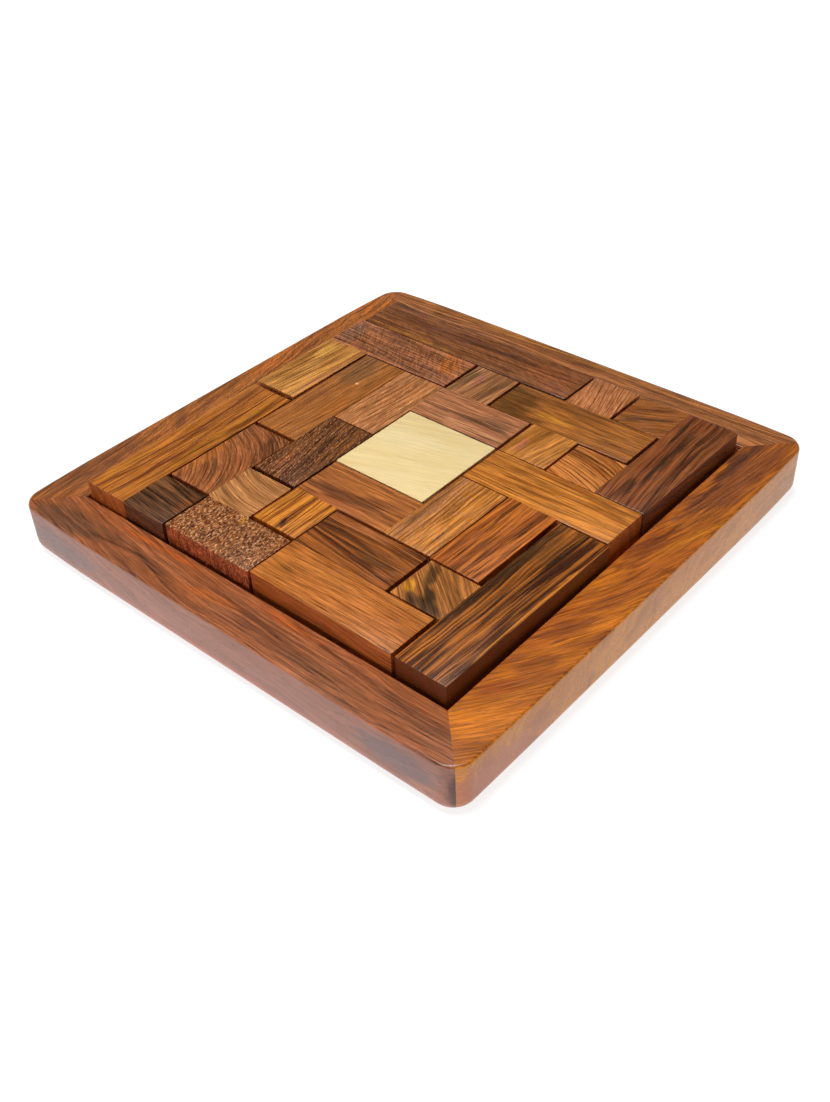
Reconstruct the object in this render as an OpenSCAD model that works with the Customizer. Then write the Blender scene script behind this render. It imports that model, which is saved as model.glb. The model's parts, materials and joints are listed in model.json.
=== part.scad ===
// Packing puzzle: thirteen glued-up wooden pieces standing in a square mitred tray.
// Millimetres. The origin is at the centre of the tray, on the surface it stands on.
// Grid cells are counted from the tray's front left corner: x to the right, y to the back.

/* [Tray] */
// Space between the cell grid and the wall of the well, on each side
well_slack = 1.6; // [1.2:0.1:3]
// Width of the rails, seen from above
rail_w = 18; // [15:0.5:24]
// Height of the rails
rail_h = 20; // [16:0.5:26]
// Radius of the tray's upright corners
corner_r = 8; // [7:0.5:15]
// Radius along the bottom outer edge of the rails
bottom_round = 5; // [2:0.5:6]
// Radius along the top outer edge of the rails
top_round = 1.2; // [0.5:0.1:2.5]
// Height of the well's floor above the surface that the tray stands on
floor_top = 6.8; // [6:0.1:9]
// Thickness of the base panel
panel_t = 6; // [3:0.5:6]
// How far the base panel reaches into the rabbet under each rail
rabbet = 6; // [4:0.5:8]
// Glue gap between the base panel's edge and the rabbet
panel_fit = 0.1; // [0.05:0.05:0.3]

/* [Pieces] */
// Size of one grid cell
cell = 20.5; // [18:0.5:24]
// Height of the pieces
piece_h = 20; // [15:0.5:24]
// How much smaller than its cells a piece is, on each free side
ease = 0.35; // [0.35:0.05:0.6]

/* [Hidden] */
$fn = 64;
cells = 8;
grid_w = cells * cell;
well_w = grid_w + 2 * well_slack;
tray_w = well_w + 2 * rail_w;
panel_w = well_w + 2 * rabbet;
over = 1;  // how far a cutting solid runs past what it cuts

// How a block's side ends: inside its cell, on the cell's line, or run on to the block it is glued to
FREE = -1;
FLUSH = 0;
GLUED = 1;

// How each piece has settled in the well: the grid point at its middle, its sideways shift, its turn
SEAT_I = [[7.5, 5.5], [0.3, 0.15], 0];
SEAT_X = [[6.5, 2.5], [0.1, -0.1], 0];
SEAT_U = [[6.5, 1], [-0.4, -0.6], -0.5];
SEAT_T = [[3.5, 1.5], [0.1, 0.3], -0.6];
SEAT_Y = [[2, 1], [-0.15, -0.65], -0.6];
SEAT_P = [[1, 2.5], [0.15, 0.45], -0.5];
SEAT_Z = [[2.5, 3.5], [0.6, 0.2], -0.2];
SEAT_F = [[5.5, 4.5], [0.45, 0.5], 0];
SEAT_N = [[4, 6], [0.6, 0.45], 0];
SEAT_W = [[1.5, 5.5], [-0.35, 0.35], 0];
SEAT_L = [[2, 7], [-1.1, 0.4], 0];
SEAT_V = [[5.5, 6.5], [0.6, 1.1], 0];
SEAT_SQUARE = [[4, 4], [0.55, 0.6], 0];

// ---- tray ----

// The sliver that rounds off a square edge: its sharp corner is at the origin, the wood to +x and +y
module edge_sliver(r) {
    difference() {
        translate([-over, -over]) square(r + over);
        translate([r, r]) circle(r);
    }
}

// Cross-section of the tray's outer edge, from the corner's axis at x = 0 out to the side
module edge_profile() {
    difference() {
        square([corner_r, rail_h]);
        translate([corner_r, 0]) mirror([1, 0]) edge_sliver(bottom_round);
        translate([corner_r, rail_h]) rotate(180) edge_sliver(top_round);
    }
}

// The tray's outer shape as one solid block
module tray_block() {
    core_w = tray_w - 2 * corner_r;
    translate([-core_w / 2, -core_w / 2, 0]) cube([core_w, core_w, rail_h]);
    for (turn = [0:90:270])
        rotate([0, 0, turn]) translate([core_w / 2, core_w / 2, 0]) {
            rotate([90, 0, 0]) linear_extrude(core_w) edge_profile();
            rotate_extrude(angle = 90) edge_profile();
        }
}

// One rail: the quarter of the tray between two mitres, with a rabbet below for the base panel.
// Turn 0 is the right-hand rail.
module rail(turn) {
    reach = tray_w / 2 + over;
    difference() {
        intersection() {
            tray_block();
            rotate([0, 0, turn]) linear_extrude(rail_h)
                polygon([[0, 0], [reach, -reach], [reach, reach]]);
        }
        translate([-well_w / 2, -well_w / 2, -over]) cube([well_w, well_w, rail_h + 2 * over]);
        translate([-panel_w / 2, -panel_w / 2, -over]) cube([panel_w, panel_w, floor_top + over]);
    }
}

module rail_front() { color("#b3682b") rail(-90); }
module rail_right() { color("#9a6034") rail(0); }
module rail_back() { color("#94492c") rail(90); }
module rail_left() { color("#8f4a2e") rail(180); }

// The board that closes the well from below; its top is the floor that the pieces stand on
module base_panel() {
    side = panel_w - 2 * panel_fit;
    color("#a5733f") translate([-side / 2, -side / 2, floor_top - panel_t])
        cube([side, side, panel_t]);
}

// ---- pieces ----

// A rectangular block of wood that fills a run of cells. Each side is FREE, FLUSH or GLUED.
module block(at, size, left = FREE, front = FREE, right = FREE, back = FREE) {
    low = [at[0] * cell - left * ease, at[1] * cell - front * ease];
    high = [(at[0] + size[0]) * cell + right * ease, (at[1] + size[1]) * cell + back * ease];
    translate([low[0] - grid_w / 2, low[1] - grid_w / 2, floor_top])
        cube([high[0] - low[0], high[1] - low[1], piece_h]);
}

// Moves a block to where its piece has settled
module seated(seat) {
    middle = [seat[0][0] * cell - grid_w / 2, seat[0][1] * cell - grid_w / 2, 0];
    shift = [seat[1][0], seat[1][1], 0];
    translate(middle + shift) rotate([0, 0, seat[2]]) translate(-middle) children();
}

module i_bar() { color("#6b4428") seated(SEAT_I) block([7, 3], [1, 5]); }

module x_bar() { color("#80522a") seated(SEAT_X) block([6, 1], [1, 3]); }
module x_left_arm() { color("#b07a3a") seated(SEAT_X) block([5, 2], [1, 1], right = GLUED); }
module x_right_arm() { color("#b58463") seated(SEAT_X) block([7, 2], [1, 1], left = GLUED); }

module u_bar() { color("#5f3a22") seated(SEAT_U) block([5, 0], [3, 1]); }
module u_left_arm() { color("#b87a45") seated(SEAT_U) block([5, 1], [1, 1], front = GLUED); }
module u_right_arm() { color("#a5652f") seated(SEAT_U) block([7, 1], [1, 1], front = GLUED); }

module t_bar() { color("#b8742f") seated(SEAT_T) block([4, 0], [1, 3]); }
module t_stem() { color("#a8672f") seated(SEAT_T) block([2, 1], [2, 1], right = GLUED); }

module y_bar() { color("#7d5228") seated(SEAT_Y) block([0, 0], [4, 1]); }
module y_arm() { color("#9a6b30") seated(SEAT_Y) block([1, 1], [1, 1], front = GLUED); }

module p_bar() { color("#b5753f") seated(SEAT_P) block([0, 1], [1, 3]); }
module p_block() { color("#84532f") seated(SEAT_P) block([1, 2], [1, 2], left = GLUED); }

module z_stem() { color("#8c5734") seated(SEAT_Z) block([2, 3], [1, 2], front = GLUED); }
module z_foot() { color("#b17a40") seated(SEAT_Z) block([2, 2], [2, 1]); }
module z_head() { color("#c98930") seated(SEAT_Z) block([1, 4], [1, 1], right = GLUED); }

module f_stem() { color("#90583a") seated(SEAT_F) block([5, 3], [1, 2], back = GLUED); }
module f_arm() { color("#85603a") seated(SEAT_F) block([6, 4], [1, 1], left = GLUED); }
module f_head() { color("#b98560") seated(SEAT_F) block([4, 5], [2, 1]); }

module n_long_bar() { color("#976236") seated(SEAT_N) block([3, 6], [3, 1], front = FLUSH); }
module n_short_bar() { color("#65462c") seated(SEAT_N) block([2, 5], [2, 1], back = FLUSH); }

module w_lower() { color("#95734c") seated(SEAT_W) block([0, 4], [1, 2]); }
// Glued on two sides; the cut keeps the corner between its two neighbours clean
module w_middle() {
    color("#bd8d58") seated(SEAT_W) difference() {
        block([1, 5], [1, 1], left = GLUED, back = GLUED);
        block([0, 6], [1, 1], right = GLUED, front = GLUED);
    }
}
module w_upper() { color("#8d4f33") seated(SEAT_W) block([1, 6], [2, 1]); }

module l_bar() { color("#c1812d") seated(SEAT_L) block([0, 7], [4, 1]); }
module l_foot() { color("#4c382c") seated(SEAT_L) block([0, 6], [1, 1], back = GLUED); }

module v_bar() { color("#8f5a45") seated(SEAT_V) block([6, 5], [1, 3]); }
module v_arm() { color("#c49a5f") seated(SEAT_V) block([4, 7], [2, 1], right = GLUED); }

module square_block() { color("#ecd396") seated(SEAT_SQUARE) block([3, 3], [2, 2]); }

rail_front();
rail_right();
rail_back();
rail_left();
base_panel();
i_bar();
x_bar();
x_left_arm();
x_right_arm();
u_bar();
u_left_arm();
u_right_arm();
t_bar();
t_stem();
y_bar();
y_arm();
p_bar();
p_block();
z_stem();
z_foot();
z_head();
f_stem();
f_arm();
f_head();
n_long_bar();
n_short_bar();
w_lower();
w_middle();
w_upper();
l_bar();
l_foot();
v_bar();
v_arm();
square_block();
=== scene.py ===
"""Looks of the pentomino packing puzzle: eased wooden blocks glued into pieces, in a mitred tray."""

import json
import math

import bmesh
import bpy
from mathutils import Matrix, Vector


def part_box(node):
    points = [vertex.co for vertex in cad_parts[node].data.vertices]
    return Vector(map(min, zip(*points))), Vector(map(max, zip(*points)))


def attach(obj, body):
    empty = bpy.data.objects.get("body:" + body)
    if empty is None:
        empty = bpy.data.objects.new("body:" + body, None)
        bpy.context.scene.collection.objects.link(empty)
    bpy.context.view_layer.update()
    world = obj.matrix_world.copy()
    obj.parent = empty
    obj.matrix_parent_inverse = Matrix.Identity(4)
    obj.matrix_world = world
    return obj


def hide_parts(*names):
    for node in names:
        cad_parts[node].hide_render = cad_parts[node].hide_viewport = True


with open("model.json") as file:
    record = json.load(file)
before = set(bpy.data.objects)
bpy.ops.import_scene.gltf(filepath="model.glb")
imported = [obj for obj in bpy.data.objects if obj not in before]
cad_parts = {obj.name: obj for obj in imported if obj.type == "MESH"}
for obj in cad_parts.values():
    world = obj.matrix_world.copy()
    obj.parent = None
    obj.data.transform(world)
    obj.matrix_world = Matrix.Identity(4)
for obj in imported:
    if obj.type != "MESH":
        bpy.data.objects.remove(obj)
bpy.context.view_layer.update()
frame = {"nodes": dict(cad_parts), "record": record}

MM = 0.001
BODIES = frame["record"]["behaviour"]["bodies"]

# ---------------------------------------------------------------- camera

CAMERA_AT = Vector((-0.2709, -0.2466, 0.2809))
CAMERA_AIM = Vector((-0.0411, -0.0349, 0.0268))
CAMERA_ROLL = math.radians(-2.91)
LENS = 40.77  # mm, on a 36 mm sensor along the frame's longer side


def make_camera():
    data = bpy.data.cameras.new("camera")
    data.sensor_width = 36
    data.lens = LENS
    data.clip_start = 0.01
    camera = bpy.data.objects.new("camera", data)
    bpy.context.scene.collection.objects.link(camera)
    turn = (CAMERA_AIM - CAMERA_AT).to_track_quat("-Z", "Y").to_matrix().to_4x4()
    roll = Matrix.Rotation(CAMERA_ROLL, 4, "Z")
    camera.matrix_world = Matrix.Translation(CAMERA_AT) @ turn @ roll
    bpy.context.scene.camera = camera


# ---------------------------------------------------------------- floor and light

FLOOR_HALF = 6.0
FLOOR_Z = -0.05 * MM  # a little below the tray's underside, so that the two don't share a plane
PAPER_GREY = 0.25
PAPER_ROUGHNESS = 0.9
PAPER_GLOW = 0.85

# Suns: the direction they stand in, strength, and width as seen from the object, in degrees
SUNS = {
    "key": ((-0.05, 0.12, 1.2), 3.0, 16),
    "side": ((-1, 0.1, 0.3), 0.8, 20),
}

# The room's brightness by a direction's height, from 0 at the horizon to 1 overhead
PALE_BELOW = 0.05
PALE = 0.8
DARK_ABOVE = 0.12
DARK = 0.02


def neutral(level):
    return (level, level, level, 1)


def make_floor():
    """White paper that glows a little. It doesn't show from below, so that the underside can be seen."""
    corners = [(-1, -1), (1, -1), (1, 1), (-1, 1)]
    data = bpy.data.meshes.new("floor")
    data.from_pydata([(x * FLOOR_HALF, y * FLOOR_HALF, FLOOR_Z) for x, y in corners], [], [(0, 1, 2, 3)])
    floor = bpy.data.objects.new("floor", data)
    bpy.context.scene.collection.objects.link(floor)
    material = bpy.data.materials.new("floor_paper")
    material.use_nodes = True
    tree = material.node_tree
    shader = tree.nodes["Principled BSDF"]
    shader.inputs["Base Color"].default_value = neutral(PAPER_GREY)
    shader.inputs["Roughness"].default_value = PAPER_ROUGHNESS
    shader.inputs["Specular IOR Level"].default_value = 0.0
    shader.inputs["Emission Color"].default_value = neutral(1)
    shader.inputs["Emission Strength"].default_value = PAPER_GLOW
    mix = tree.nodes.new("ShaderNodeMixShader")
    tree.links.new(tree.nodes.new("ShaderNodeNewGeometry").outputs["Backfacing"], mix.inputs["Fac"])
    tree.links.new(shader.outputs["BSDF"], mix.inputs[1])
    tree.links.new(tree.nodes.new("ShaderNodeBsdfTransparent").outputs["BSDF"], mix.inputs[2])
    tree.links.new(mix.outputs["Shader"], tree.nodes["Material Output"].inputs["Surface"])
    data.materials.append(material)


def add_sun(name, direction, strength, angle):
    data = bpy.data.lights.new(name, "SUN")
    data.energy = strength
    data.angle = math.radians(angle)
    sun = bpy.data.objects.new(name, data)
    bpy.context.scene.collection.objects.link(sun)
    sun.rotation_euler = (-Vector(direction)).to_track_quat("-Z", "Y").to_euler()


def make_light():
    """A soft key overhead and a low side light, in a room that is pale near the horizon and dark above it:
    the tops show their own colour, and the sides mirror the pale part. The camera sees a white backdrop."""
    for name, (direction, strength, angle) in SUNS.items():
        add_sun(name, direction, strength, angle)
    world = bpy.data.worlds.new("room")
    bpy.context.scene.world = world
    world.use_nodes = True
    tree = world.node_tree
    background = tree.nodes["Background"]
    place = tree.nodes.new("ShaderNodeTexCoord")
    parts = tree.nodes.new("ShaderNodeSeparateXYZ")
    ramp = tree.nodes.new("ShaderNodeValToRGB")
    tree.links.new(place.outputs["Generated"], parts.inputs[0])
    tree.links.new(parts.outputs["Z"], ramp.inputs[0])
    seen = tree.nodes.new("ShaderNodeMix")
    seen.data_type = "RGBA"
    seen.inputs[7].default_value = neutral(1)
    tree.links.new(tree.nodes.new("ShaderNodeLightPath").outputs["Is Camera Ray"], seen.inputs[0])
    tree.links.new(ramp.outputs["Color"], seen.inputs[6])
    tree.links.new(seen.outputs[2], background.inputs["Color"])
    pale, dark = ramp.color_ramp.elements
    pale.position = PALE_BELOW
    pale.color = neutral(PALE)
    dark.position = DARK_ABOVE
    dark.color = neutral(DARK)


# ---------------------------------------------------------------- block meshes

EASE = 0.28 * MM  # how far the outside edges of a piece are rounded
GLUE_EASE = 0.05 * MM  # the hairline left along a glue line
GLUE_CUT = 0.01 * MM  # a block is cut this far past its own side, so that no cut lies in a face
BESIDE = 0.1 * MM  # far enough from a face or level to be clear of it
EASE_STEPS = 3  # strips in a rounded edge
UPWARD = 0.9  # a face whose normal's Z is greater belongs to the top
SAME_PLACE = 6  # decimals of a metre at which two points count as the same
FLAT = 1  # degrees: faces that turn by less are one face
CREASE = 40  # degrees: edges that turn by more stay sharp
PROBES = 20  # points along a block's side at which its neighbours are looked for
ON_CUT = 1e-9  # points closer to a cut than this lie in it
WELD = 0.0001 * MM  # points closer than this become one


def top_outline(node):
    """The edges of a CAD block's top face, as pairs of (x, y) points."""
    data = frame["nodes"][node].data
    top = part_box(node)[1].z
    seen = {}
    for face in data.polygons:
        if face.normal.z < UPWARD or abs(face.center.z - top) > BESIDE:
            continue
        points = [data.vertices[i].co.to_2d() for i in face.vertices]
        for a, b in zip(points, points[1:] + points[:1]):
            key = frozenset((round(end.x, SAME_PLACE), round(end.y, SAME_PLACE)) for end in (a, b))
            seen[key] = None if key in seen else (a, b)
    return [edge for edge in seen.values() if edge]


def inside(point, edges):
    """Whether a point lies inside the outline that the edges make."""
    crossings = 0
    for a, b in edges:
        if (a.y > point.y) != (b.y > point.y):
            crossings += point.x < a.x + (point.y - a.y) * (b.x - a.x) / (b.y - a.y)
    return crossings % 2 == 1


def merged(values, gap=0.02 * MM):
    """Sorted values, with those closer than gap taken as one."""
    out = []
    for value in sorted(values):
        if not out or value - out[-1] > gap:
            out.append(value)
    return out


def piece_solid(nodes):
    """One closed mesh of a whole piece, all its blocks together, with its outside edges rounded.
    Also returns the piece's own direction along its grid."""
    outlines = [top_outline(node) for node in nodes]
    longest = max((edge for edges in outlines for edge in edges), key=lambda e: (e[1] - e[0]).length)
    along = (longest[1] - longest[0]).normalized()
    if abs(along.y) > abs(along.x):
        along = Vector((along.y, -along.x))
    if along.x < 0:
        along = -along
    turn = Matrix(((along.x, along.y), (-along.y, along.x)))
    local = [[(turn @ a, turn @ b) for a, b in edges] for edges in outlines]
    ends = [point for edges in local for edge in edges for point in edge]
    us = merged(p.x for p in ends)
    vs = merged(p.y for p in ends)

    def filled(i, j):
        if not (0 <= i < len(us) - 1 and 0 <= j < len(vs) - 1):
            return False
        middle = Vector(((us[i] + us[i + 1]) / 2, (vs[j] + vs[j + 1]) / 2))
        return any(inside(middle, edges) for edges in local)

    low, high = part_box(nodes[0])
    mesh = bmesh.new()
    corners = {}

    def corner(i, j, z):
        key = (i, j, z)
        if key not in corners:
            at = turn.transposed() @ Vector((us[i], vs[j]))
            corners[key] = mesh.verts.new((at.x, at.y, z))
        return corners[key]

    for i in range(len(us) - 1):
        for j in range(len(vs) - 1):
            if not filled(i, j):
                continue
            ring = [(i, j), (i + 1, j), (i + 1, j + 1), (i, j + 1)]
            mesh.faces.new([corner(*c, high.z) for c in ring])
            mesh.faces.new([corner(*c, low.z) for c in reversed(ring)])
            beyond = [(i, j - 1), (i + 1, j), (i, j + 1), (i - 1, j)]
            for k, cell in enumerate(beyond):
                if not filled(*cell):
                    a, b = ring[k], ring[(k + 1) % 4]
                    wall = [(*a, low.z), (*b, low.z), (*b, high.z), (*a, high.z)]
                    mesh.faces.new([corner(*at) for at in wall])
    bmesh.ops.recalc_face_normals(mesh, faces=mesh.faces)
    bmesh.ops.dissolve_limit(mesh, angle_limit=math.radians(FLAT), verts=mesh.verts, edges=mesh.edges)
    bmesh.ops.bevel(mesh, geom=list(mesh.edges), offset=EASE, segments=EASE_STEPS, profile=0.5,
                    affect="EDGES", clamp_overlap=True)
    return mesh, turn


def cut_block(solid, turn, node, others):
    """The part of a piece's solid that is one block: cut at the block's four sides, and closed again."""
    mesh = solid.copy()
    here = [turn @ p for edge in top_outline(node) for p in edge]
    low = Vector((min(p.x for p in here), min(p.y for p in here)))
    high = Vector((max(p.x for p in here), max(p.y for p in here)))
    middle = (low + high) / 2
    back = turn.transposed()
    sides = [
        (Vector((1, 0)), Vector((high.x, middle.y)), high.y - low.y),
        (Vector((-1, 0)), Vector((low.x, middle.y)), high.y - low.y),
        (Vector((0, 1)), Vector((middle.x, high.y)), high.x - low.x),
        (Vector((0, -1)), Vector((middle.x, low.y)), high.x - low.x),
    ]
    order = list(others)
    caps = []
    for out, at, length in sides:
        across = Vector((-out.y, out.x))
        spread = [length * ((k + 0.5) / PROBES - 0.5) for k in range(PROBES)]
        probes = [at + out * BESIDE + across * shift for shift in spread]
        touching = [name for name, edges in others.items() if any(inside(back @ p, edges) for p in probes)]
        earlier = any(order.index(name) < order.index(node) for name in touching)
        point = back @ (at + out * (-GLUE_CUT if earlier else GLUE_CUT))
        normal = back @ out
        cut = bmesh.ops.bisect_plane(
            mesh, geom=mesh.verts[:] + mesh.edges[:] + mesh.faces[:], dist=ON_CUT,
            plane_co=(point.x, point.y, 0), plane_no=(normal.x, normal.y, 0), clear_outer=True)
        edges = [e for e in cut["geom_cut"] if isinstance(e, bmesh.types.BMEdge)]
        rim = [e for e in edges if e.is_valid and e.is_boundary]
        if rim:
            caps += bmesh.ops.holes_fill(mesh, edges=rim, sides=0)["faces"]
    caps = [face for face in caps if face.is_valid]
    glue_edges = list({edge for face in caps for edge in face.edges})
    if glue_edges:
        bmesh.ops.bevel(mesh, geom=glue_edges, offset=GLUE_EASE, segments=1, profile=0.5, affect="EDGES",
                        clamp_overlap=True)
    bmesh.ops.recalc_face_normals(mesh, faces=mesh.faces)
    return mesh


def finish_mesh(mesh, name, body, nodes, material):
    """Turns a bmesh into a shown piece that rides on a body and stands for CAD nodes."""
    data = bpy.data.meshes.new(name)
    mesh.to_mesh(data)
    mesh.free()
    data.materials.append(material)
    for face in data.polygons:
        face.use_smooth = True
    data.set_sharp_from_angle(angle=math.radians(CREASE))
    piece = bpy.data.objects.new(name, data)
    bpy.context.scene.collection.objects.link(piece)
    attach(piece, body)
    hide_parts(*nodes)


# ---------------------------------------------------------------- rail meshes

CORNER_R = 8 * MM
BOTTOM_ROUND = 5 * MM
TOP_ROUND = 1.2 * MM
INNER_EASE = 0.5 * MM
MITRE_GAP = 0.002 * MM  # half the hairline between two rails
PANEL_SLACK = 0.1 * MM  # between the panel's edge and its rabbet
ARC_STEPS = 14
SIDE_STEPS = 24
BOTTOM_STEPS = 12
TOP_STEPS = 6
INNER_STEPS = 4
DRAW_FROM = 60 * MM  # how far from the middle of a side the curve starts
# How much the sides curve in at each corner, by (right of the middle, behind the middle)
DRAW_IN = {
    (False, False): 0.3 * MM,
    (True, False): 1.1 * MM,
    (True, True): 1.5 * MM,
    (False, True): 1.3 * MM,
}


def arc(centre, radius, start, end, steps):
    """Points on an arc in the section's plane, angles in degrees."""
    turns = [math.radians(start + (end - start) * k / steps) for k in range(steps + 1)]
    return [(centre[0] + radius * math.cos(t), centre[1] + radius * math.sin(t)) for t in turns]


def rail_section():
    """The closed outline of the right-hand rail's section: (distance from the tray's centre, height)."""
    low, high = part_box("rail_right")
    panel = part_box("base_panel")[1]
    rabbet = panel.x + PANEL_SLACK
    return (
        arc((high.x - BOTTOM_ROUND, BOTTOM_ROUND), BOTTOM_ROUND, -90, 0, BOTTOM_STEPS)
        + arc((high.x - TOP_ROUND, high.z - TOP_ROUND), TOP_ROUND, 0, 90, TOP_STEPS)
        + arc((low.x + INNER_EASE, high.z - INNER_EASE), INNER_EASE, 90, 180, INNER_STEPS)
        + [(low.x, panel.z), (rabbet, panel.z), (rabbet, 0)]
    )


def drawn_in(at):
    """A rail's point after hand sanding: the outer sides curve in a little towards the corners."""
    wall, half = (corner.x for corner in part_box("rail_right"))
    depth = DRAW_IN[(at.x > 0, at.y > 0)]
    out = Vector((abs(at.x), abs(at.y)))
    along = Vector((max(out.y - DRAW_FROM, 0), max(out.x - DRAW_FROM, 0))) / (half - DRAW_FROM)
    share = Vector((max(out.x - wall, 0), max(out.y - wall, 0))) / (half - wall)
    at.x -= math.copysign(depth * along.x ** 2 * share.x, at.x)
    at.y -= math.copysign(depth * along.y ** 2 * share.y, at.y)
    return at


def rail_mesh(turn_degrees):
    """One rail, swept along its straight stretch and half of each rounded corner, up to the mitres."""
    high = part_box("rail_right")[1]
    axis = high.x - CORNER_R
    corner = [45 * k / ARC_STEPS for k in range(ARC_STEPS + 1)]
    stations = [(-axis, -angle) for angle in reversed(corner)]
    stations += [(axis * (2 * k / SIDE_STEPS - 1), 0) for k in range(1, SIDE_STEPS)]
    stations += [(axis, angle) for angle in corner]
    turn = Matrix.Rotation(math.radians(turn_degrees), 4, "Z")
    mesh = bmesh.new()
    rings = []
    for y, angle in stations:
        ring = []
        for x, z in rail_section():
            if x <= axis:
                at = Vector((x, y / axis * x, z))
            else:
                t = math.radians(angle)
                at = Vector((axis + (x - axis) * math.cos(t), y + (x - axis) * math.sin(t), z))
            at.y = max(-at.x + 2 * MITRE_GAP, min(at.x - 2 * MITRE_GAP, at.y))
            ring.append(mesh.verts.new(drawn_in(turn @ at)))
        rings.append(ring)
    count = len(rings[0])
    for a, b in zip(rings, rings[1:]):
        for k in range(count):
            mesh.faces.new([a[k], a[(k + 1) % count], b[(k + 1) % count], b[k]])
    mesh.faces.new(rings[0][::-1])
    mesh.faces.new(rings[-1])
    bmesh.ops.remove_doubles(mesh, verts=mesh.verts, dist=WELD)
    bmesh.ops.dissolve_degenerate(mesh, dist=WELD, edges=mesh.edges)
    bmesh.ops.recalc_face_normals(mesh, faces=mesh.faces)
    return mesh


RAIL_TURNS = {"rail_right": 0, "rail_back": 90, "rail_left": 180, "rail_front": -90}  # degrees

# ---------------------------------------------------------------- wood

VEIL = 0.013  # light that the oiled surface adds by reflection; taken off the wood's own colour
LEAST = 0.002  # a colour's smallest linear value

# What all the blocks' wood shares. Sizes are in mm: along the grain, across it and up
SEED_SHIFT = (37.0, 19.0, 53.0)  # how far one step of the seed moves a block through the wood
RIPPLE_SIZE = (11, 4, 4)  # short waves of the rings
FADE_SIZE = (24, 5, 5)  # stretches in which streaks and veins fade out
TINT_SIZE = (34, 9, 9)  # patches of the third colour
MOTTLE_SIZE = (6, 3, 3)  # paler and darker patches
RAGGED_SIZE = (9, 1.2, 1.2)  # the torn outline of a spot

# Bands that follow the rings: length along the grain, detail, and how far one step of the seed moves them
STREAK_BANDS = (70, 2.5, 3.1)
THREAD_BANDS = (64, 2.5, 5.7)
VEIN_BANDS = (110, 1.0, 9.1)
THREAD_WIDTH = 0.75
VEIN_SPACING = 1.5  # times the streaks' spacing

# Levels between which a feature goes from nothing to its full amount
FADE_LEVELS = (0.3, 0.52)
THREAD_LEVELS = (0.2, 0.8)
FIBRE_LEVELS = (0.2, 0.8)
PORE_LEVELS = (0.6, 0.68)
TINT_LEVELS = (0.42, 0.6)
VEIN_LEVELS = (0.05, 0.012)  # of the distance from the middle of the noise's range
SPOT_LEVELS = (1.15, 0.5)  # of the distance from the spot's middle, in half axes
FLECK_LEVELS = (0.62, 0.7)
FLECK_SHARE = 0.2  # how far a full share of flecks lowers these levels
# Upright faces take the painted shade and sheen of sides and plain
UPRIGHT_LEVELS = (0.75, 0.3)  # of the face normal's Z

# How strongly a wood's settings act
WANDER_SWING = 4
RIPPLE_SWING = 2
RAGGED_SWING = 2
LINES_CONTRAST = 1.7
FIBRE_CONTRAST = 2.2
LEAST_SHADE = 0.25
VEIN_SHADE = 0.85  # of the dark colour
PORE_SHADE = 0.55  # of the dark colour

# Surface: fibres and pores change the roughness and the height that makes the bumps
FIBRE_ROUGHNESS = 0.2
PORE_ROUGHNESS = 0.2
FIBRE_HEIGHT = 0.6
PORE_HEIGHT = -0.8
BUMP_STRENGTH = 0.5
BUMP_DISTANCE = 0.08 * MM


class Nodes:
    """Short calls for building one material's node tree. Their arguments are sockets or plain values."""

    def __init__(self, name):
        self.material = bpy.data.materials.new(name)
        self.material.use_nodes = True
        self.tree = self.material.node_tree
        self.shader = self.tree.nodes["Principled BSDF"]

    def feed(self, socket, value):
        if isinstance(value, bpy.types.NodeSocket):
            self.tree.links.new(value, socket)
        elif value is not None:
            socket.default_value = value

    def add(self, kind, inputs, **settings):
        node = self.tree.nodes.new(kind)
        for key, value in settings.items():
            setattr(node, key, value)
        for key, value in inputs.items():
            self.feed(node.inputs[key], value)
        return node.outputs

    def math(self, operation, a, b=None, c=None):
        return self.add("ShaderNodeMath", {0: a, 1: b, 2: c}, operation=operation)[0]

    def vector(self, operation, a, b=None):
        return self.add("ShaderNodeVectorMath", {0: a, 1: b}, operation=operation)[0]

    def turned(self, at, degrees):
        """A vector turned about Z, so that its X runs along the direction given."""
        angle = -math.radians(degrees)
        return self.add("ShaderNodeVectorRotate", {"Vector": at, "Angle": angle}, rotation_type="Z_AXIS")[0]

    def noise(self, at, size, detail):
        """Noise from 0 to 1, mostly near 0.5, with features of size (along, across, up)."""
        values = {"Vector": self.vector("DIVIDE", at, size), "Scale": 1.0, "Detail": detail}
        return self.add("ShaderNodeTexNoise", values)["Fac"]

    def spread(self, noise, amount):
        """Noise moved to lie around 0, times an amount."""
        return self.math("MULTIPLY_ADD", noise, amount, -amount / 2)

    def step(self, value, start, end):
        """0 before start and 1 past end, smooth in between; start may be the greater."""
        ends = {1: min(start, end), 2: max(start, end), 3: float(start > end), 4: float(start < end)}
        return self.add("ShaderNodeMapRange", {0: value, **ends}, interpolation_type="SMOOTHSTEP")[0]

    def blend(self, factor, a, b, mode="MIX"):
        return self.add("ShaderNodeMix", {0: factor, 6: a, 7: b}, data_type="RGBA", blend_type=mode)[2]


def linear(rgb):
    """A colour as it looks on screen, 0 to 255 each, as the linear colour under the surface's veil."""
    parts = [c / 255 for c in rgb]
    parts = [c / 12.92 if c <= 0.04045 else ((c + 0.055) / 1.055) ** 2.4 for c in parts]
    return (*[max(c - VEIL, LEAST) for c in parts], 1.0)


def spot(at, size, colour, turn=0, amount=0.85, ragged=0.8):
    """A patch of another colour: middle and half axes in mm from the block's middle, turned in degrees.
    Without a height it runs right through the block."""
    at = (*at, 0) if len(at) == 2 else at
    size = (*size, 40) if len(size) == 2 else size
    return {"at": at, "size": size, "colour": colour, "turn": turn, "amount": amount, "ragged": ragged}


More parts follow.
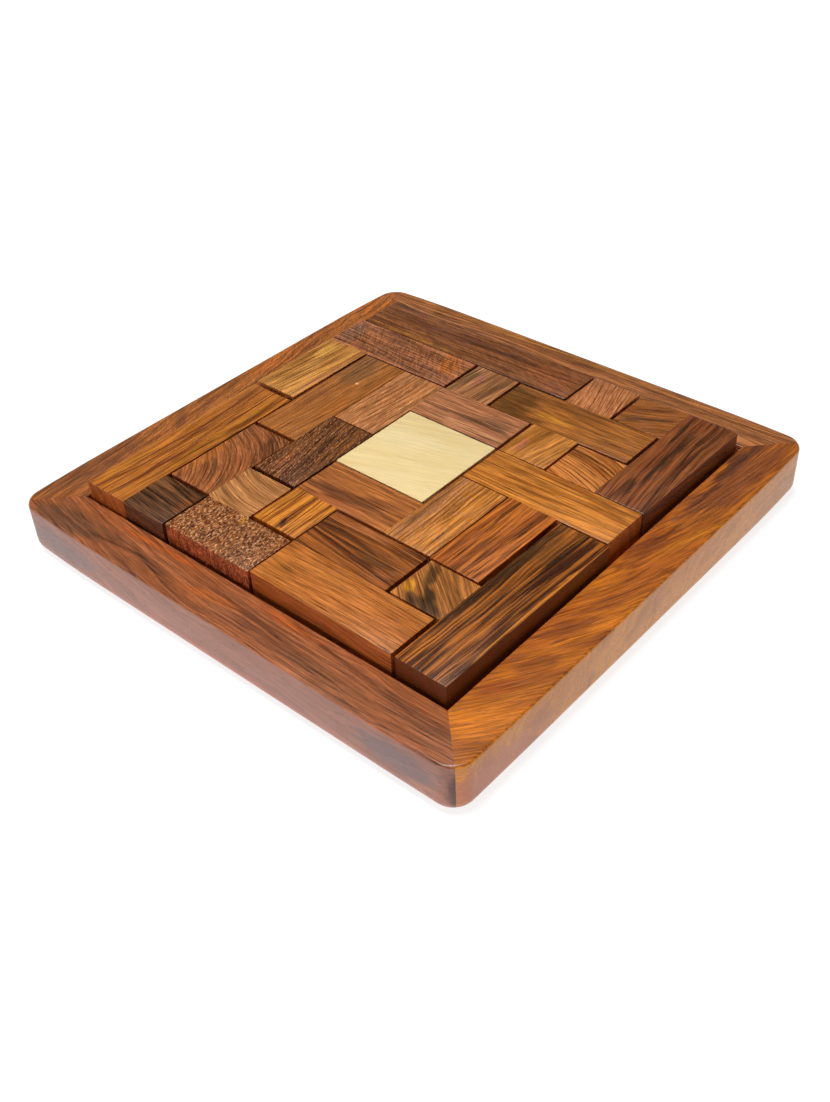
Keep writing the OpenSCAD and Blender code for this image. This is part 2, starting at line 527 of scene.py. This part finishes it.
def hatch(turn, size, colour, amount=0.5, share=0.5):
    """Short strokes across the grain, as ray flecks make: direction, (length, width) in mm, colour, how
    strong they are and how much of the block they cover."""
    return {"turn": turn, "size": size, "colour": colour, "amount": amount, "share": share}


def ring_distance(n, grain, seeded, cut, pith, bend, wander, ripple):
    """How far a place is from the pith, a line along the grain beside and below the block, in mm."""
    across, up = n.add("ShaderNodeSeparateXYZ", {0: grain})[1:]
    angle = math.radians(cut)
    dy = n.math("SUBTRACT", across, pith * math.cos(angle))
    dz = n.math("ADD", up, pith * math.sin(angle))
    ring = n.math("SQRT", n.math("MULTIPLY_ADD", dy, dy, n.math("MULTIPLY", dz, dz)))
    ring = n.math("ADD", ring, n.spread(n.noise(seeded, bend, 1.5), wander * WANDER_SWING))
    return n.math("ADD", ring, n.spread(n.noise(seeded, RIPPLE_SIZE, 1.0), ripple * RIPPLE_SWING))


def with_spots(n, colour, spots, local, seeded):
    for mark in spots:
        off = n.turned(n.vector("SUBTRACT", local, mark["at"]), mark["turn"])
        off = n.vector("DIVIDE", off, mark["size"])
        far = n.add("ShaderNodeVectorMath", {0: off}, operation="LENGTH")["Value"]
        ragged = n.spread(n.noise(seeded, RAGGED_SIZE, 2.0), mark["ragged"] * RAGGED_SWING)
        inside = n.math("MULTIPLY", n.step(n.math("ADD", far, ragged), *SPOT_LEVELS), mark["amount"])
        colour = n.blend(inside, colour, linear(mark["colour"]))
    return colour


def with_flecks(n, colour, flecks, local):
    for fleck in flecks:
        length, width = fleck["size"]
        strokes = n.noise(n.turned(local, fleck["turn"]), (length, width, width), 1.5)
        strokes = n.step(strokes, *[level - FLECK_SHARE * fleck["share"] for level in FLECK_LEVELS])
        colour = n.blend(n.math("MULTIPLY", strokes, fleck["amount"]), colour, linear(fleck["colour"]))
    return colour


def sheesham(node, light, dark, seed, turn=0, spacing=2.5, streak=0.8, edge=0.56, core=0.4, lines=0.5,
             veins=0.0, cut=20, pith=80, wander=1.6, bend=(45, 10, 10), ripple=0.35, bow=0.0, tint=None,
             tinted=0.5, marks=(), side_sheen_and_shade=(), flecks=(), mottle=0.4, fibre=0.42,
             fibre_size=(10, 0.34, 0.34), pore=0.3, pore_size=(3.0, 0.4, 0.4), sides=(0.9, 0.66, 0.66),
             plain=0.35, coat=0.1, coat_rough=0.3, rough=0.34):
    """Oiled hardwood as a solid texture in one block: growth rings seen as streaks, fibres and pores.

    light, dark: the colours between and in the streaks, as they look on screen, 0 to 255 each
    seed: which part of the wood the block shows
    turn, bow: the direction of the grain in degrees from X, and how fast it curves
    spacing, streak: the streaks' width in mm, and how strong they are
    edge, core: the levels of the noise at which a streak begins and is full
    lines, veins: how strong the fine threads and the thin dark veins are
    cut, pith: the pith's direction, degrees below the block's level, and its distance in mm
    wander, bend: how far the rings stray, and the size of these bends; ripple: short waves of the rings
    tint, tinted: a third colour in patches, and how strong it is
    marks, flecks: spots all through the block, and hatches; side spots, on the upright faces only,
    paint sheen and shade: pale bands for the floor's reflection, darker ones where it fades
    mottle, fibre, pore: how strong the paler and darker patches, the fibres and the pores are
    fibre_size, pore_size: in mm, along the grain, across it and up
    sides, plain: factors on an upright face's red, green and blue, and how far its figure is flattened;
    they paint light: below 1 they paint shade on a piece's sides, and above 1, with the flattening,
    the pale sheen that the floor's reflection lays on a rail's sides
    coat, coat_rough, rough: the oil's weight and roughness, and the wood's roughness
    """
    n = Nodes(node + "_wood")
    low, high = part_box(node)
    place = n.add("ShaderNodeTexCoord", {})["Object"]
    local = n.vector("SUBTRACT", place, tuple((low + high) / 2))
    local = n.vector("MULTIPLY", local, (1 / MM, 1 / MM, 1 / MM))
    grain = n.turned(local, turn)
    if bow:
        straight = n.add("ShaderNodeSeparateXYZ", {0: grain})[0]
        lift = n.math("MULTIPLY", n.math("MULTIPLY", straight, straight), bow)
        grain = n.vector("ADD", grain, n.add("ShaderNodeCombineXYZ", {1: lift})[0])
    seeded = n.vector("ADD", grain, tuple(seed * shift for shift in SEED_SHIFT))
    along = n.add("ShaderNodeSeparateXYZ", {0: grain})[0]
    ring = ring_distance(n, grain, seeded, cut, pith, bend, wander, ripple)

    def bands(width, length, detail, seed_shift):
        """Noise in bands that follow the rings and slowly change along the grain."""
        u = n.math("MULTIPLY_ADD", along, 1 / length, seed * seed_shift)
        v = n.math("MULTIPLY_ADD", ring, 1 / width, seed * seed_shift * 3)
        values = {"Vector": n.add("ShaderNodeCombineXYZ", {0: u, 1: v})[0], "Scale": 1.0, "Detail": detail}
        return n.add("ShaderNodeTexNoise", values, noise_dimensions="2D")["Fac"]

    fade = n.step(n.noise(seeded, FADE_SIZE, 1.0), *FADE_LEVELS)
    streaks = n.math("MULTIPLY", n.step(bands(spacing, *STREAK_BANDS), edge, core), fade)
    threads = n.step(bands(THREAD_WIDTH, *THREAD_BANDS), *THREAD_LEVELS)
    fibres = n.step(n.noise(seeded, fibre_size, 1.0), *FIBRE_LEVELS)
    pores = n.step(n.noise(seeded, pore_size, 1.0), *PORE_LEVELS)

    # Figure: streaks, patches of the third colour, spots, veins and flecks
    colour = n.blend(n.math("MULTIPLY", streaks, streak), linear(light), linear(dark))
    if tint:
        patches = n.step(n.noise(seeded, TINT_SIZE, 2.0), *TINT_LEVELS)
        colour = n.blend(n.math("MULTIPLY", patches, tinted), colour, linear(tint))
    colour = with_spots(n, colour, marks, local, seeded)
    if veins:
        middle = n.math("SUBTRACT", bands(spacing * VEIN_SPACING, *VEIN_BANDS), 0.5)
        vein = n.math("MULTIPLY", n.step(n.math("ABSOLUTE", middle), *VEIN_LEVELS), fade)
        colour = n.blend(n.math("MULTIPLY", vein, veins), colour, linear([c * VEIN_SHADE for c in dark]))
    colour = with_flecks(n, colour, flecks, local)

    # Fine grain: threads, fibres and mottle make the colour paler and darker, and pores are dark
    shade = n.spread(threads, lines * LINES_CONTRAST)
    shade = n.math("ADD", shade, n.spread(fibres, fibre * FIBRE_CONTRAST))
    shade = n.math("ADD", shade, n.spread(n.noise(seeded, MOTTLE_SIZE, 2.0), mottle))
    shade = n.math("MAXIMUM", n.math("ADD", shade, 1.0), LEAST_SHADE)
    grey = n.add("ShaderNodeCombineColor", {0: shade, 1: shade, 2: shade})[0]
    colour = n.blend(1.0, colour, grey, "MULTIPLY")
    colour = n.blend(n.math("MULTIPLY", pores, pore), colour, linear([c * PORE_SHADE for c in dark]))

    # Upright faces: sides and plain paint shade on the pieces' sides and a pale sheen on the rails' sides,
    # and the spots for these faces paint bands of sheen and shade
    facing = n.add("ShaderNodeSeparateXYZ", {0: n.add("ShaderNodeTexCoord", {})["Normal"]})[2]
    upright = n.step(n.math("ABSOLUTE", facing), *UPRIGHT_LEVELS)
    average = linear([(a + b) / 2 for a, b in zip(light, dark)])
    # The upright faces' colour, with painted shade (pieces) and painted sheen (rails) multiplied in
    side = n.blend(1.0, n.blend(plain, colour, average), (*sides, 1), "MULTIPLY")
    colour = n.blend(upright, colour, with_spots(n, side, side_sheen_and_shade, local, seeded))
    n.feed(n.shader.inputs["Base Color"], colour)

    gloss = n.math("MULTIPLY_ADD", fibres, FIBRE_ROUGHNESS, rough - FIBRE_ROUGHNESS / 2)
    n.feed(n.shader.inputs["Roughness"], n.math("MULTIPLY_ADD", pores, PORE_ROUGHNESS, gloss))
    n.feed(n.shader.inputs["Coat Weight"], coat)
    n.feed(n.shader.inputs["Coat Roughness"], coat_rough)
    height = n.math("MULTIPLY_ADD", pores, PORE_HEIGHT, n.math("MULTIPLY", fibres, FIBRE_HEIGHT))
    bump = {"Height": height, "Strength": BUMP_STRENGTH, "Distance": BUMP_DISTANCE}
    n.feed(n.shader.inputs["Normal"], n.add("ShaderNodeBump", bump)[0])
    return n.material


# ---------------------------------------------------------------- looks of the blocks, rails and panel

RAIL_OIL = dict(coat=0.3, coat_rough=0.42, rough=0.4)

# In these looks, sides below 1 darken a piece's upright faces: painted shade. On the rails, sides above 1
# and plain paint the pale sheen of the floor's reflection on the upright faces, and their spots for upright
# faces paint bands in that sheen.
LOOKS = {
    "i_bar": dict(
        light=(146, 92, 56), dark=(96, 56, 34), seed=1, turn=90, spacing=2.6, streak=0.65, lines=0.55,
        fibre=0.3,
        marks=[
            spot((-8.5, 26), (1.6, 24), (176, 118, 56)),
            spot((0, -38), (9, 13), (154, 88, 52), amount=0.6),
            spot((1, 14), (6, 20), (122, 78, 60), amount=0.5)],
        flecks=[hatch(66, (4, 0.8), (104, 62, 44), 0.45, share=0.7)]),
    "x_bar": dict(
        light=(166, 103, 50), dark=(118, 70, 34), seed=2, turn=90, spacing=3.6, streak=0.6, lines=0.4,
        marks=[
            spot((-2, 25), (16, 11), (104, 68, 36), turn=35, amount=0.9),
            spot((-3, 6), (2.2, 9), (198, 130, 50)),
            spot((7, 2), (3, 14), (122, 76, 40), amount=0.7),
            spot((-7, 10), (2, 6), (110, 70, 40), amount=0.7)]),
    "x_left_arm": dict(
        light=(194, 126, 62), dark=(150, 92, 38), seed=3, turn=-8, spacing=3.0, streak=0.7, lines=0.55,
        marks=[spot((-3, 5), (5, 1.6), (190, 108, 84), amount=0.6)]),
    "x_right_arm": dict(
        light=(176, 110, 67), dark=(144, 84, 46), seed=4, turn=14, spacing=2.2, streak=0.5, lines=0.5,
        flecks=[hatch(18, (4, 0.7), (208, 144, 104), 0.45)]),
    "u_bar": dict(
        light=(134, 80, 48), dark=(76, 45, 28), seed=5, turn=4, spacing=1.9, streak=0.8, lines=0.55,
        fibre=0.32, tint=(146, 76, 46), tinted=0.3,
        marks=[
            spot((2, 1), (26, 1.8), (66, 47, 32), turn=3),
            spot((-22, 3), (8, 2.6), (78, 50, 34)),
            spot((18, 6), (12, 1.2), (70, 48, 34), turn=5)]),
    "u_left_arm": dict(
        light=(200, 124, 64), dark=(144, 78, 34), seed=6, turn=73, spacing=1.0, streak=0.8, lines=0.8,
        bow=-0.008, cut=5, edge=0.54, core=0.42, ripple=0.2),
    "u_right_arm": dict(
        light=(156, 94, 48), dark=(112, 64, 36), seed=7, turn=-63, spacing=5.0, streak=0.4, lines=0.35,
        marks=[
            spot((-2, -1), (13, 1.4), (80, 54, 40), turn=-62),
            spot((4, 1), (10, 1.4), (112, 68, 40), turn=-62),
            spot((-4, 4), (5, 3), (100, 64, 44), turn=-60, amount=0.6)]),
    "t_bar": dict(
        light=(200, 126, 56), dark=(150, 84, 32), seed=8, turn=90, spacing=2.2, streak=0.6, lines=0.5,
        marks=[
            spot((0, 12), (1.0, 18), (140, 80, 34), turn=2),
            spot((8, -2), (1.8, 18), (146, 82, 38), amount=0.7),
            spot((4, -24), (3, 6), (162, 98, 46), turn=-30, amount=0.7)]),
    "t_stem": dict(
        light=(190, 109, 48), dark=(110, 58, 22), seed=9, turn=-2, spacing=1.9, streak=0.8, lines=0.55,
        tint=(184, 102, 50), tinted=0.4,
        marks=[spot((14, 5), (16, 0.8), (100, 58, 32)), spot((12, -6), (14, 1.0), (100, 54, 26), turn=-3)]),
    "y_bar": dict(
        light=(158, 93, 42), dark=(74, 44, 22), seed=10, turn=-1.5, spacing=1.5, streak=0.95, lines=1.0,
        fibre=0.2, cut=8, edge=0.58, core=0.44, ripple=0.3, wander=0.9, veins=0.3, plain=0.9,
        # Darker upright faces: painted shade
        sides=(0.75, 0.5, 0.6),
        marks=[
            spot((8, 8), (40, 2.4), (72, 50, 32), turn=-1.5, amount=0.9),
            spot((28, 3), (12, 5), (84, 58, 38), amount=0.6),
            spot((-6, -9.4), (36, 1.2), (190, 116, 48), amount=0.8)]),
    "y_arm": dict(
        light=(182, 116, 62), dark=(136, 85, 43), seed=11, turn=52, spacing=1.8, streak=0.7, lines=0.7,
        fibre=0.3,
        marks=[
            spot((-8, -2), (9, 3.4), (74, 56, 40), turn=80, amount=0.9, ragged=0.5),
            spot((-3, 0), (5, 2.4), (70, 52, 36), turn=50, amount=0.9, ragged=0.5),
            spot((4, 5), (8, 2.4), (88, 64, 42), turn=24, amount=0.85, ragged=0.5),
            spot((-3.5, 7.5), (3.6, 2.6), (224, 148, 50), turn=30, amount=0.95, ragged=0.5)]),
    "p_bar": dict(
        light=(192, 118, 58), dark=(150, 82, 34), seed=12, turn=90, spacing=1.7, streak=0.45, lines=0.45,
        tint=(188, 106, 50), tinted=0.35),
    "p_block": dict(
        light=(154, 90, 46), dark=(88, 50, 27), seed=13, turn=86, spacing=1.6, streak=0.85, lines=0.75,
        fibre=0.3,
        marks=[spot((-1, -8), (4, 10), (92, 62, 38), amount=0.6), spot((8, 4), (2, 12), (170, 104, 62))]),
    "z_stem": dict(
        light=(178, 108, 58), dark=(124, 70, 38), seed=14, turn=91, spacing=2.0, streak=0.6, lines=0.45,
        marks=[
            spot((-3.5, 6), (3.4, 20), (110, 68, 46), turn=3, amount=0.8, ragged=0.4),
            spot((1.5, -10), (2.4, 10), (120, 72, 48), turn=12, amount=0.6, ragged=0.4),
            spot((-8, 4), (2.4, 16), (148, 84, 52), amount=0.6)]),
    "z_foot": dict(
        light=(202, 128, 58), dark=(152, 88, 40), seed=15, turn=0, spacing=1.8, streak=0.6, lines=0.5,
        marks=[spot((0, 6), (26, 4.0), (160, 104, 66), turn=-2, amount=0.75)],
        flecks=[hatch(25, (2.5, 0.6), (200, 146, 100), 0.35)]),
    "z_head": dict(
        light=(214, 134, 52), dark=(122, 62, 14), seed=16, turn=1, spacing=1.1, streak=0.8, lines=0.6,
        cut=5, wander=0.5, ripple=0.2, edge=0.52, core=0.42, veins=0.3,
        marks=[spot((-7, -1), (3.2, 1.2), (78, 46, 18), turn=20)]),
    "f_stem": dict(
        light=(180, 118, 80), dark=(138, 84, 50), seed=17, turn=91, spacing=2.0, streak=0.6, lines=0.5,
        marks=[
            spot((-6.4, -4), (2.4, 20), (200, 140, 98), amount=0.6),
            spot((-1.2, 0), (1.6, 20), (104, 70, 48), turn=2, amount=0.85),
            spot((2, -12), (4, 7), (114, 82, 60), amount=0.7)]),
    "f_arm": dict(
        light=(176, 120, 78), dark=(134, 88, 54), seed=18, turn=-5, spacing=1.8, streak=0.7, lines=0.7,
        marks=[spot((1, 8), (12, 3), (112, 82, 50), amount=0.7), spot((1, 3), (6, 2.0), (150, 94, 76))]),
    "f_head": dict(
        light=(180, 116, 70), dark=(150, 90, 48), seed=19, turn=-3, spacing=2.4, streak=0.5, lines=0.5,
        flecks=[hatch(14, (3.5, 0.7), (208, 148, 98), 0.4)]),
    "n_long_bar": dict(
        light=(174, 108, 56), dark=(134, 82, 42), seed=20, turn=-2, spacing=2.8, streak=0.5, lines=0.45,
        fibre=0.36,
        marks=[
            spot((20, 3), (13, 7), (134, 92, 56), amount=0.8),
            spot((-4, -6), (12, 3), (186, 110, 50), amount=0.5),
            spot((-6, 6), (10, 3), (138, 86, 52), amount=0.6),
            spot((12, -1.5), (0.7, 0.9), (232, 180, 136), ragged=0.3, amount=0.85)]),
    "n_short_bar": dict(
        light=(124, 76, 44), dark=(70, 41, 24), seed=21, turn=9, spacing=1.4, streak=0.8, lines=0.8,
        bend=(14, 5, 5), wander=1.0, core=0.42, fibre=0.6,
        marks=[spot((-13, 3), (6, 5), (128, 74, 52), amount=0.5)],
        flecks=[hatch(24, (1.8, 0.5), (184, 132, 90), 0.6, share=0.4)]),
    "w_lower": dict(
        light=(156, 96, 54), dark=(100, 55, 30), seed=22, turn=0, spacing=9, streak=0.35, lines=0.1,
        fibre=0.8, fibre_size=(1.3, 0.5, 2.0), pore=0.8, pore_size=(1.1, 0.6, 3.0), mottle=0.8,
        # Redder upright faces, darker in green and blue: painted shade
        sides=(1.2, 0.7, 0.65),
        marks=[
            spot((9, 1), (4.5, 2.2), (214, 142, 62), turn=40, amount=0.9, ragged=0.4),
            spot((-4, 3), (6, 3), (110, 70, 48), turn=-20, amount=0.6),
            spot((8, -8), (5, 8), (172, 112, 66), amount=0.5)],
        flecks=[
            hatch(40, (1.5, 0.8), (84, 44, 24), 0.75, share=0.6),
            hatch(20, (1.4, 0.7), (214, 156, 112), 0.6)]),
    "w_middle": dict(
        light=(196, 134, 82), dark=(156, 98, 54), seed=23, turn=78, spacing=1.5, streak=0.5, lines=0.5,
        bow=0.012, cut=5, ripple=0.2, marks=[spot((7, -1), (2.5, 9), (166, 108, 62), amount=0.6)]),
    "w_upper": dict(
        light=(158, 93, 54), dark=(106, 63, 40), seed=24, turn=46, spacing=1.6, streak=0.6, lines=0.5,
        bow=-0.014, cut=5, ripple=0.2,
        marks=[
            spot((12, -6), (13, 6), (104, 64, 42), turn=12, amount=0.8),
            spot((-8, 0), (6, 2.4), (108, 70, 46), turn=45, amount=0.7),
            spot((-4, 8), (14, 3.0), (182, 106, 50), amount=0.7)],
        flecks=[hatch(48, (4, 0.6), (192, 130, 84), 0.35)]),
    "l_bar": dict(
        light=(188, 114, 50), dark=(128, 68, 22), seed=25, turn=-0.5, spacing=4.5, streak=0.35, lines=0.55,
        fibre=0.3, veins=0.75, ripple=0.5,
        marks=[
            spot((-26, 6.5), (16, 2.2), (202, 130, 50), amount=0.6),
            spot((10, -6), (34, 1.6), (200, 130, 50), turn=2, amount=0.7),
            spot((-30, -6), (12, 2.2), (198, 122, 50), amount=0.6),
            spot((-10, 4.2), (34, 0.5), (116, 60, 20), turn=-1, ragged=0.5),
            spot((26, 4.6), (16, 0.5), (128, 68, 24), turn=3, ragged=0.5),
            spot((-14, -3.4), (30, 0.7), (104, 50, 16), ragged=0.5),
            spot((26, -2.4), (18, 0.6), (112, 56, 18), turn=3, ragged=0.5),
            spot((0, 1), (40, 1.2), (170, 98, 46), amount=0.5)]),
    "l_foot": dict(
        light=(106, 70, 46), dark=(72, 46, 31), seed=26, turn=84, spacing=1.4, streak=0.6, lines=0.8,
        fibre=0.7, marks=[spot((2, -8), (7, 2.6), (130, 74, 40), amount=0.6)]),
    "v_bar": dict(
        light=(172, 108, 70), dark=(102, 64, 44), seed=27, turn=88, spacing=2.2, streak=0.6, lines=0.75,
        fibre=0.35,
        marks=[
            spot((0, 26), (11, 5), (126, 94, 74), amount=0.7),
            spot((3, -22), (9, 5), (180, 100, 40), turn=30, amount=0.75),
            spot((0, 4), (8, 10), (144, 94, 70), amount=0.5)],
        flecks=[
            hatch(24, (4.5, 0.7), (104, 60, 42), 0.55, share=0.6),
            hatch(32, (5, 0.6), (190, 126, 82), 0.35)]),
    "v_arm": dict(
        light=(196, 136, 70), dark=(150, 94, 46), seed=28, turn=-5, spacing=2.4, streak=0.8, lines=0.55,
        marks=[
            spot((-2, -8.6), (24, 1.4), (176, 112, 72), amount=0.7),
            spot((12, 4), (8, 3), (218, 160, 80))]),
    "square_block": dict(
        light=(243, 217, 160), dark=(232, 200, 134), seed=29, turn=106, spacing=4.5, streak=0.4, lines=0.06,
        fibre=0.06, mottle=0.06, pore=0.06, rough=0.42, tint=(242, 212, 146), tinted=0.4,
        # Slightly darker, warmer upright faces: painted shade
        sides=(0.95, 0.88, 0.8),
        marks=[spot((6, 8), (16, 6), (247, 226, 176), turn=110, amount=0.5)]),
    "rail_left": dict(
        light=(158, 94, 58), dark=(104, 60, 37), seed=30, turn=86, spacing=2.0, streak=0.6, lines=0.5,
        bend=(50, 12, 12), wander=2.4, ripple=0.5, bow=0.0006, tint=(164, 90, 46), tinted=0.4, fibre=0.38,
        # Paler, greyer upright faces with a flattened figure: painted sheen of the floor's reflection
        sides=(1.4, 1.8, 4.0), plain=0.68, **RAIL_OIL,
        marks=[
            spot((-4, 78), (24, 7), (106, 72, 50), turn=98, amount=0.7),
            spot((0, 6), (14, 2.2), (182, 96, 40), turn=100, amount=0.6),
            spot((6, 40), (20, 1.6), (182, 88, 32), turn=92, amount=0.7),
            spot((6, -22), (18, 1.6), (176, 86, 36), turn=90, amount=0.6),
            spot((-2, 52), (18, 1.0), (88, 50, 28), turn=96, amount=0.7),
            spot((2, -4), (30, 0.9), (92, 52, 30), turn=86, amount=0.6),
            spot((4, -52), (26, 1.0), (94, 52, 30), turn=84, amount=0.7),
            spot((-4, -46), (26, 5), (140, 88, 56), turn=90, amount=0.5)],
        side_sheen_and_shade=[
            # Paler, pinker band along the lower rounding: painted reflection of the floor
            spot((-8, 0, -10.5), (7, 140, 7), (208, 112, 92), amount=0.6, ragged=0.3),
            # Grey-blue patches in the upright faces: painted sheen
            spot((-9, -78, 2), (4, 18, 6), (104, 92, 98), amount=0.6),
            spot((-9, 78, 1), (4, 24, 6), (108, 92, 96), amount=0.5),
            # Dark band at the corner where the sheen fades: painted shade, partly darker end grain
            spot((-5, -98.5, 0), (3.5, 4, 10), (56, 30, 24), amount=0.8, ragged=0.3)]),
    "rail_front": dict(
        light=(176, 96, 36), dark=(122, 64, 28), seed=31, turn=-20, spacing=4.2, streak=0.65, lines=0.3,
        bend=(40, 14, 14), wander=2.4, ripple=0.5, tint=(206, 120, 34), tinted=0.5, bow=-0.002, fibre=0.34,
        # Paler, greyer upright faces with a flattened figure: painted sheen of the floor's reflection
        sides=(1.9, 2.6, 4.0), plain=0.62, **RAIL_OIL,
        marks=[
            spot((64, 1), (46, 10), (130, 74, 44), turn=-5, amount=0.85),
            spot((26, -4), (18, 2.6), (188, 112, 34), turn=-16, amount=0.7),
            spot((70, 5), (26, 2.6), (84, 52, 38), turn=2, amount=0.8, ragged=1.2),
            spot((14, 4), (22, 4), (112, 58, 28), turn=-10, amount=0.7, ragged=1.2),
            spot((-34, 2), (14, 4), (120, 60, 24), turn=-30, amount=0.6, ragged=1.2),
            spot((-84, 0), (14, 7), (214, 124, 40), turn=-38, amount=0.8),
            spot((-52, 0), (9, 3.4), (128, 66, 26), turn=-36, amount=0.7),
            spot((-68, 3), (8, 3), (160, 74, 26), turn=-36, amount=0.6)],
        # Paler, pinker patch low on the front face near the corner: painted reflection of the floor
        side_sheen_and_shade=[spot((-90, -9, -5), (34, 8, 12), (190, 110, 96), amount=0.6)]),
    "rail_right": dict(
        light=(176, 111, 65), dark=(118, 71, 41), seed=32, turn=91, spacing=1.9, streak=0.75, lines=0.6,
        # Paler upright faces with a flattened figure: painted sheen of the floor's reflection
        bend=(60, 12, 12), wander=2.6, ripple=0.5, veins=0.35, sides=(1.4, 1.4, 2.0), plain=0.6,
        **RAIL_OIL,
        marks=[
            spot((6, 20), (1.2, 60), (180, 120, 50), amount=0.7),
            spot((-4, 40), (4, 34), (120, 78, 50), amount=0.6),
            spot((3, -60), (5, 24), (158, 98, 54), amount=0.6)]),
    "rail_back": dict(
        light=(172, 104, 52), dark=(122, 72, 38), seed=33, turn=8, spacing=2.4, streak=0.6, lines=0.5,
        bend=(30, 12, 12), wander=2.6, ripple=0.5, tint=(184, 102, 44), tinted=0.5, fibre=0.38,
        # Paler upright faces with a flattened figure: painted sheen of the floor's reflection
        sides=(1.4, 1.4, 2.0), plain=0.6, **RAIL_OIL,
        marks=[
            spot((-72, 3), (30, 8), (128, 80, 52), turn=4, amount=0.75),
            spot((-30, 2), (8, 2.4), (110, 66, 44), turn=40, amount=0.6)],
        flecks=[hatch(38, (4, 0.9), (128, 74, 40), 0.45)]),
}

# The panel is darker than the blocks, so that the well under the pieces and the gaps stay dark: painted
# shade
PANEL_SHADE_LOOK = dict(
    light=(96, 62, 40), dark=(70, 44, 28), seed=34, turn=0, spacing=6.0, streak=0.6, lines=0.4,
    cut=70, pith=60, rough=0.5, coat=0.0)

# ---------------------------------------------------------------- build

make_camera()
make_floor()
make_light()
bpy.context.scene.view_settings.view_transform = "Standard"

for name, turn_degrees in RAIL_TURNS.items():
    finish_mesh(rail_mesh(turn_degrees), name + "_wood", "tray", [name], sheesham(name, **LOOKS[name]))

for body, nodes in BODIES.items():
    if body == "tray":
        continue
    solid, turn = piece_solid(nodes)
    outlines = {node: top_outline(node) for node in nodes}
    for node in nodes:
        block = cut_block(solid, turn, node, outlines)
        finish_mesh(block, node + "_wood", body, [node], sheesham(node, **LOOKS[node]))
    solid.free()

panel = frame["nodes"]["base_panel"]
panel_material = sheesham("base_panel", **PANEL_SHADE_LOOK)
for slot in panel.material_slots:
    slot.material = panel_material
